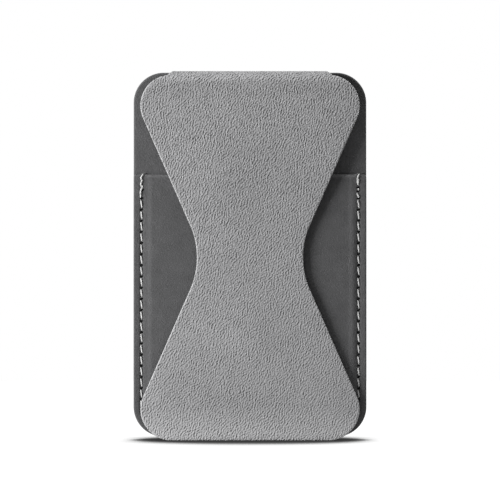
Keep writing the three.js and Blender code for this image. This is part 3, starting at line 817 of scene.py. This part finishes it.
hole = Pattern("needle_holes", Hole_Pitch=STITCH_PITCH * MM, Hole_Length=1.12 * MM, Hole_Width=0.54 * MM,
               Hole_Height=0.34 * MM, Slant=-1.12)
ball = hole.node("MeshUVSphere", {"Segments": 12, "Rings": 6, "Radius": 0.5})
size = hole.vector(X=hole.given("Hole Length"), Y=hole.given("Hole Width"), Z=hole.given("Hole Height"))
lens = hole.node("Transform", {
    "Geometry": ball.outputs["Mesh"], "Scale": size, "Rotation": hole.vector(Z=hole.given("Slant"))})
hole.repeat(lens.outputs["Geometry"], hole.given("Hole Pitch"), painted_hole_shade.material)

row_start = 2 * STITCH_PITCH - PATH_MARGIN
stretches = [(row_start, SEAM_LENGTH - row_start, 0.0)]
# Three more holes belong to the doubled ends. Their stretch of path is too short for a second one.
for start, offset in ((3.9, -0.26), (SEAM_LENGTH - 4.1, -0.2), (SEAM_LENGTH - 3.1, -0.2)):
    stretches.append((start, start + 0.1, offset))
punches = [grown("hole_row", seam_path("hole_path", *stretch, HOLE_DEPTH), hole) for stretch in stretches]
needle_holes = joined("needle_holes", punches)
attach(needle_holes, "body")

# Hinge ledge: a strip of fibre board, rounded along its top, that fills the step
# in front of the body so that the flap hangs level over the pocket.
finish_nodes(fibreboard, "hinge_ledge")

# Flap leather: one hourglass of grained light leather, which runs on over the top edge
# as a strap and down behind the front skin. Here it is cut at the creases, where the
# joints turn it, and the cuts don't show at rest. Its cut edges are rounded and painted.
FLAP_HALF_WIDTH = 30.25
FLAP_BOTTOM = -68.65
FLAP_CORNER = 8.6
FLAP_TOP = 32.35
EAR_END = 79
WAIST_LEVEL = (FLAP_TOP + FLAP_BOTTOM) / 2
WAIST_HALF_WIDTH = 14.65
WAIST_RADIUS = 22.0
ROLL_RADIUS = 3.2
ROLL_DEPTH, ROLL_LEVEL = 3.7, 30.2
ROLL_CREST = ROLL_LEVEL + ROLL_RADIUS
ROLL_TOP = ROLL_LEVEL + ROLL_RADIUS * math.pi / 2
STRAP_HALF_WIDTH, STRAP_FLARE, STRAP_FLARE_HEIGHT = 21.55, 0.92, 0.7
STRAP_DEPTH = 1.0
STRAP_BEND = 0.4
STRAP_BACK = ROLL_TOP + ROLL_DEPTH - STRAP_DEPTH
STRAP_TURN = STRAP_BACK + STRAP_BEND * math.pi / 2
STRAP_END = STRAP_TURN + 4.4
ROOT_CREASE = root_low, root_high = (26.9, 28.5)
WAIST_CREASE = waist_low, waist_high = (-20.75, -15.55)
LEATHER_THICKNESS, STRAP_SKIVE = 0.6, 0.21
LEATHER_MIDDLE = 6.6
LEATHER_TOP = 36.0
HEM_SIDE, HEM_LEVEL, HEM_BACK = (21.4, 23.2), (-67.2, -66.6), 1.19


def flap_side(inset, last_angle):
    """The right side of the hourglass, from the bottom up: corner, waist and corner arcs that touch."""
    corner_x, waist_x = FLAP_HALF_WIDTH - FLAP_CORNER, WAIST_HALF_WIDTH + WAIST_RADIUS
    top = FLAP_TOP - FLAP_CORNER
    reach = math.hypot(waist_x - corner_x, WAIST_LEVEL - top)
    turn = math.degrees(math.acos((FLAP_CORNER + WAIST_RADIUS) / reach))
    touch = math.degrees(math.atan2(WAIST_LEVEL - top, waist_x - corner_x)) + turn
    return np.concatenate([
        arc_points((corner_x, FLAP_BOTTOM + FLAP_CORNER), FLAP_CORNER - inset, -90, -touch, 20),
        arc_points((waist_x, WAIST_LEVEL), WAIST_RADIUS + inset, 180 - touch, 180 + touch, 26),
        arc_points((corner_x, top), FLAP_CORNER - inset, touch, last_angle, 20),
    ])


def along_leather(z):
    """The distance along the leather at a level on its front, counted as the level up to the roll."""
    rise = np.clip((z - ROLL_LEVEL) / ROLL_RADIUS, 0, 1)
    return np.where(z > ROLL_LEVEL, ROLL_LEVEL + ROLL_RADIUS * np.arcsin(rise), z)


shoulder = np.array([(22.85, 32.28), (22.65, 32.36), (22.53, 32.5), (22.47, 32.7)])
rise = np.linspace(32.85, ROLL_CREST, 6)
slope = np.stack([STRAP_HALF_WIDTH + STRAP_FLARE * (ROLL_CREST - rise) / STRAP_FLARE_HEIGHT, rise], 1)
front_part = np.concatenate([flap_side(0, EAR_END), shoulder, slope])
front_part[:, 1] = along_leather(front_part[:, 1])
back_part = np.array([(21.6, STRAP_BACK), (22.05, STRAP_TURN + 0.5), (22.05, STRAP_END)])
leather_outline = mirrored_outline(np.concatenate([front_part, back_part]))


def leather_place(points, inward):
    """Lays the flat leather over the roll: inward is the depth below its grain side."""
    x, s = points.T
    angle = np.clip((s - ROLL_LEVEL) / ROLL_RADIUS, 0, math.pi / 2)
    depth = ROLL_DEPTH + (ROLL_RADIUS - inward) * np.cos(angle)
    depth -= np.clip(s - ROLL_TOP, 0, STRAP_BACK - ROLL_TOP)
    z = np.where(s > ROLL_LEVEL, ROLL_LEVEL + (ROLL_RADIUS - inward) * np.sin(angle), s)
    bend = np.clip((s - STRAP_BACK) / STRAP_BEND, 0, math.pi / 2)
    tail = BODY_TOP + (STRAP_BEND - inward) * np.cos(bend) - np.clip(s - STRAP_TURN, 0, None)
    over = s > STRAP_BACK
    depth = np.where(over, STRAP_DEPTH - (STRAP_BEND - inward) * np.sin(bend), depth)
    return np.stack([x, -depth, np.where(over, tail, z)], 1)


def hemmed_at(points):
    """1 along the thumb lip, where the leather is turned back, and 0 elsewhere."""
    x, z = points.T
    return (1 - smooth(np.abs(x), *HEM_SIDE)) * (1 - smooth(z, *HEM_LEVEL))


def leather_faces(cut):
    """How far the grain side and the flesh side lie below the plain outer surface. The grain side is
    rounded at the cut edge, pressed a little over the lower magnets' end and dented at the top crease."""
    s = cut.points[:, 1]
    thickness = LEATHER_THICKNESS - STRAP_SKIVE * smooth(s, ROLL_LEVEL, ROLL_LEVEL + 1.6)
    hemmed = hemmed_at(cut.points)
    plain = 1 - hemmed
    fall = 0.3 * (1 - np.sqrt(smooth(cut.edge, -2.0, 7.0))) * (1 - smooth(s, -45.0, -30.0))
    grain_side = (round_edge(cut.edge, 0.34, 0.5 * thickness) + fall) * plain
    grain_side += round_edge(cut.edge, 1.3, 0.62) * hemmed + 0.07 * np.exp(-((s - 26.2) / 1.7) ** 2)
    doubled = (1 - smooth(cut.edge, 0.7, 0.8)) * hemmed
    flesh_side = thickness * (1 - doubled) + HEM_BACK * doubled
    flesh_side -= round_edge(cut.edge, 0.2, 0.35 * thickness) * plain
    flesh_side -= round_edge(cut.edge, 0.5, 0.5) * hemmed
    return grain_side, flesh_side


def leaf_rows(waist_spacing, top):
    """Rows from the bottom of the flap up to a level, closer together at the waist."""
    rows = even_rows(FLAP_BOTTOM, waist_low - 0.55)
    rows += even_rows(waist_low - 0.15, waist_high + 0.35, waist_spacing)
    return rows + even_rows(waist_high + 0.95, top)


crease_rows = leaf_rows(0.35, root_low - 0.5) + even_rows(root_low - 0.1, root_high + 0.2, 0.22)
crease_rows += even_rows(root_high + 0.6, ROLL_LEVEL, 0.4) + even_rows(ROLL_LEVEL + 0.3, ROLL_TOP, 0.35)
crease_rows += even_rows(ROLL_TOP + 0.5, STRAP_BACK, 0.7) + even_rows(STRAP_BACK + 0.1, STRAP_TURN, 0.13)
crease_rows += even_rows(STRAP_TURN + 0.8, STRAP_END - 0.4)
leather_cut = Cut(leather_outline, (0.025, 0.07, 0.13, 0.2, 0.3, 0.45, 0.6, 0.7, 0.8), crease_rows,
                  edge_spacing=0.7, seams=(root_high, waist_high))

light_leather = Finish("light_leather", (0.29, 0.29, 0.295), 0.65, Specular_IOR_Level=0.2)
unrolled = light_leather.scaled(light_leather.node("UVMap", uv_map="pattern").outputs[0], PATTERN_SPAN)
creased = light_leather.node("TexGabor", {
    "Vector": unrolled, "Scale": 1.0, "Frequency": 1.32, "Anisotropy": 0.4,
    "Orientation": math.radians(-43)}, gabor_type="2D").outputs["Value"]
level = light_leather.node("SeparateXYZ", {0: unrolled}).outputs["Y"]
level = light_leather.between(level, FLAP_BOTTOM - PATTERN_START[1], LEATHER_TOP - PATTERN_START[1])
deepened = light_leather.maths("MULTIPLY_ADD", level, 0.3, 0.62)
drawn = light_leather.maths("MULTIPLY_ADD", light_leather.noise(unrolled, 0.3, 1.0, 0.5), 0.4, deepened)
height = light_leather.maths("MULTIPLY", light_leather.maths("SUBTRACT", creased, 0.5), drawn)
cloud = light_leather.maths("MULTIPLY_ADD", light_leather.noise(unrolled, 0.05, 3.0, 0.6), 0.5, 0.25)
tanned = light_leather.shade(light_leather.maths("MULTIPLY_ADD", height, 0.6, cloud), 0.2)
# Painted light: the thumb lip is made lighter, standing in for light bounced up from the floor, and the roll
# at the top carries a painted highlight along its ridge.
painted_light_stops = ((-67.2, 1.0), (-59.65, 0.0), (30.4, 0.0), (31.3, 0.24), (32.2, 0.0))
leather_span = LEATHER_TOP - FLAP_BOTTOM
lip_and_roll_painted_light = light_leather.ramp(level, [((z - FLAP_BOTTOM) / leather_span, rub) for z, rub in painted_light_stops])
# Mixes in the lighter colour of the painted light on the lip and the roll.
painted_light = light_leather.mixed(lip_and_roll_painted_light, tanned, (0.385, 0.385, 0.39, 1))
painted = light_leather.between(light_leather.edge_gap(), 0.16, 0.32, 1.0, 0.0)
light_leather.wear("Base Color", light_leather.mixed(painted, painted_light, (0.42, 0.42, 0.425, 1)))
light_leather.wear("Normal", light_leather.bump(height, 1.0, 0.62))


def crease_bend(low, high):
    """Where the leather starts and stops bending at a crease, from the top down."""
    return (0, -LEATHER_MIDDLE * MM, high * MM), (0, -LEATHER_MIDDLE * MM, low * MM)


def leather_piece(name, low, high, joins, bodies, bend, *stood_for):
    """One stretch of the flap's leather, between two levels. The bodies and the bend it is given are not
    used.
    """
    cut = leather_cut.part(low, high)
    grain_side, flesh_side = leather_faces(cut)
    piece = sheet_piece(name, cut, grain_side, flesh_side, light_leather.material, leather_place, joins)
    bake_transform(piece)
    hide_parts(*stood_for)


over_top_edge = ((0, -4.53 * MM, 33.26 * MM), (0, -7.11 * MM, 31.38 * MM))
leather_piece("strap_leather", root_high, STRAP_END + 1, (root_high,), ("body", "flap_root"),
              over_top_edge, "hinge_strap", "flap_root_leather")
leather_piece("upper_flap_leather", waist_high, root_high, (root_high, waist_high),
              ("flap_root", "upper_leaf"), crease_bend(*ROOT_CREASE),
              "top_crease_leather", "upper_leaf_leather")
leather_piece("lower_flap_leather", FLAP_BOTTOM - 1, waist_high, (waist_high,), ("upper_leaf", "lower_leaf"),
              crease_bend(*WAIST_CREASE), "waist_crease_leather", "lower_leaf_leather", "thumb_lip_hem")

# Flap boards and magnets: the same fibre board stiffens both leaves, and three plated
# magnets let into the lower one hold the flap to the steel plates in the pocket.
finish_nodes(fibreboard, "upper_leaf_board", "lower_leaf_board")
finish_nodes(nickel, "flap_magnet_left", "flap_magnet_middle", "flap_magnet_right")

# Flap lining: microfibre glued behind the boards. It runs on across the waist, where it
# meets the leather, and it is pinched up to the leather along the cut edges.
LINING_TOP = 26.5
LINING_INSET = 0.45
FLAP_LINING_BACK, FLAP_LINING_THICKNESS, BOARD_THICKNESS = 5.3, 0.38, 0.6
corner_reach = math.degrees(math.asin((LINING_TOP - FLAP_TOP + FLAP_CORNER) / (FLAP_CORNER - LINING_INSET)))
flap_lining_outline = mirrored_outline(flap_side(LINING_INSET, corner_reach))
flap_lining_cut = Cut(flap_lining_outline, (0.05, 0.12, 0.2, 0.33, 0.45, 0.56), leaf_rows(0.3, LINING_TOP),
                      edge_spacing=0.8, seams=(waist_high,))


def lining_piece(name, low, high):
    """One leaf's lining, pushed forward by a board's thickness where no board lies in front of it."""
    cut = flap_lining_cut.part(low, high)
    z = cut.points[:, 1]
    at_crease = smooth(waist_high - z, 0.05, 1.15) * smooth(z - waist_low, 0.05, 1.15)
    gap = edge_distance(cut.points, finely(mirrored_outline(flap_side(0, 90)), 0.8))
    at_edge = (1 - smooth(gap, 0.45, 0.98)) * (1 - hemmed_at(cut.points))
    back = FLAP_LINING_BACK + BOARD_THICKNESS * np.maximum(at_crease, at_edge)
    trim = round_edge(cut.edge, 0.12, 0.1)
    return sheet_piece(name, cut, back + FLAP_LINING_THICKNESS - trim, back + trim, microfibre.material,
                       joins=(waist_high,))


upper_lining = lining_piece("upper_flap_lining", waist_high, LINING_TOP + 1)
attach(upper_lining, "upper_leaf")
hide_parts("upper_leaf_lining")
lower_lining = lining_piece("lower_flap_lining", FLAP_BOTTOM - 1, waist_high)
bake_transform(lower_lining)
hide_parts("lower_leaf_lining")

# Studio: a white floor under a white surround. One soft lamp stands on the left, a wide one hangs
# above and a large one stands behind, and the camera looks at the front from afar.
FLOOR_GAP = 0.02
FLOOR_LEVEL = (FLAP_BOTTOM - FLOOR_GAP) * MM
FLOOR_RADIUS = 0.45
SHADOW_REACH = 0.05


def seen_directly(wiring):
    """1 for rays from the camera and for those that a shine or a clear piece sends on, 0 for the rest."""
    path = wired(wiring.tree, "ShaderNodeLightPath").outputs
    sent_on = wiring.maths("MAXIMUM", path["Is Glossy Ray"], path["Is Transmission Ray"])
    return wiring.maths("MAXIMUM", path["Is Camera Ray"], sent_on)


floor_finish = Finish("white_floor", (0.8, 0.8, 0.8), 0.9, Specular_IOR_Level=0.0)
seen = seen_directly(floor_finish)
# Painted contact shadow: the floor shows white, and under the object its glow and its colour are darkened by
# a ramp over how little of the sky reaches it, with a little real lamp light added on top.
open_share = floor_finish.node("AmbientOcclusion", {"Distance": SHADOW_REACH}, samples=64).outputs["AO"]
painted_contact_shadow = floor_finish.ramp(open_share, [
    (0.57, 0.036), (0.65, 0.058), (0.7, 0.145), (0.73, 0.25), (0.77, 0.55), (0.81, 0.82), (0.88, 1.0)])
painted_shadow_colour = floor_finish.scaled(painted_contact_shadow, 0.1)
floor_finish.wear("Base Color", floor_finish.mixed(seen, (0.46, 0.46, 0.46, 1), painted_shadow_colour))
floor_finish.wear("Emission Color", painted_contact_shadow)
floor_finish.wear("Emission Strength", floor_finish.maths("MULTIPLY", seen, 0.97))
disc = arc_points((0, 0), FLOOR_RADIUS, 0, 357.5, 143)
mesh = bpy.data.meshes.new("floor")
mesh.from_pydata([(x, y, FLOOR_LEVEL) for x, y in disc], [], [range(len(disc))])
mesh.materials.append(floor_finish.material)
floor = linked_object("floor", mesh)

world = bpy.data.worlds.new("surround")
bpy.context.scene.world = world
world.use_nodes = True
surround = Wiring(world.node_tree)
plain = surround.tree.nodes["Background"]
plain.inputs["Color"].default_value = (1, 1, 1, 1)
plain.inputs["Strength"].default_value = 0.045
white = wired(surround.tree, "ShaderNodeBackground", {"Color": (1, 1, 1, 1)})
shown = wired(surround.tree, "ShaderNodeMixShader", {
    0: seen_directly(surround), 1: plain.outputs[0], 2: white.outputs[0]})
surround.tree.links.new(shown.outputs[0], surround.tree.nodes["World Output"].inputs["Surface"])


def lamp(name, place, target, size, power):
    light = bpy.data.lights.new(name, "AREA")
    light.shape = "RECTANGLE"
    light.size, light.size_y = size
    light.energy = power
    made = linked_object(name, light)
    made.location = place
    made.rotation_euler = (Vector(target) - Vector(place)).to_track_quat("-Z", "Y").to_euler()


lamp("left_softbox", (-0.3, -0.186, -0.03), (0, 0, -0.14), (0.17, 0.2), 2.3)
lamp("top_softbox", (0.0, -0.03, 0.45), (0, -0.01, 0), (0.4, 0.12), 2.35)
lamp("back_softbox", (0.3, 0.5, 0.12), (0, 0, -0.02), (0.4, 0.4), 6.0)

VIEW_WIDTH, VIEW_LEVEL, VIEW_DEPTH = 138.3, -16.1, 4.0
CAMERA_DISTANCE = 1000.0
camera_data = bpy.data.cameras.new("camera")
camera_data.sensor_width = 36
camera_data.lens = camera_data.sensor_width * CAMERA_DISTANCE / VIEW_WIDTH
camera_data.clip_start, camera_data.clip_end = 0.05, 20
camera = linked_object("camera", camera_data)
camera.location = (0, -(CAMERA_DISTANCE + VIEW_DEPTH) * MM, VIEW_LEVEL * MM)
camera.rotation_euler = (math.pi / 2, 0, 0)
bpy.context.scene.camera = camera
bpy.context.scene.view_settings.view_transform = "Standard"
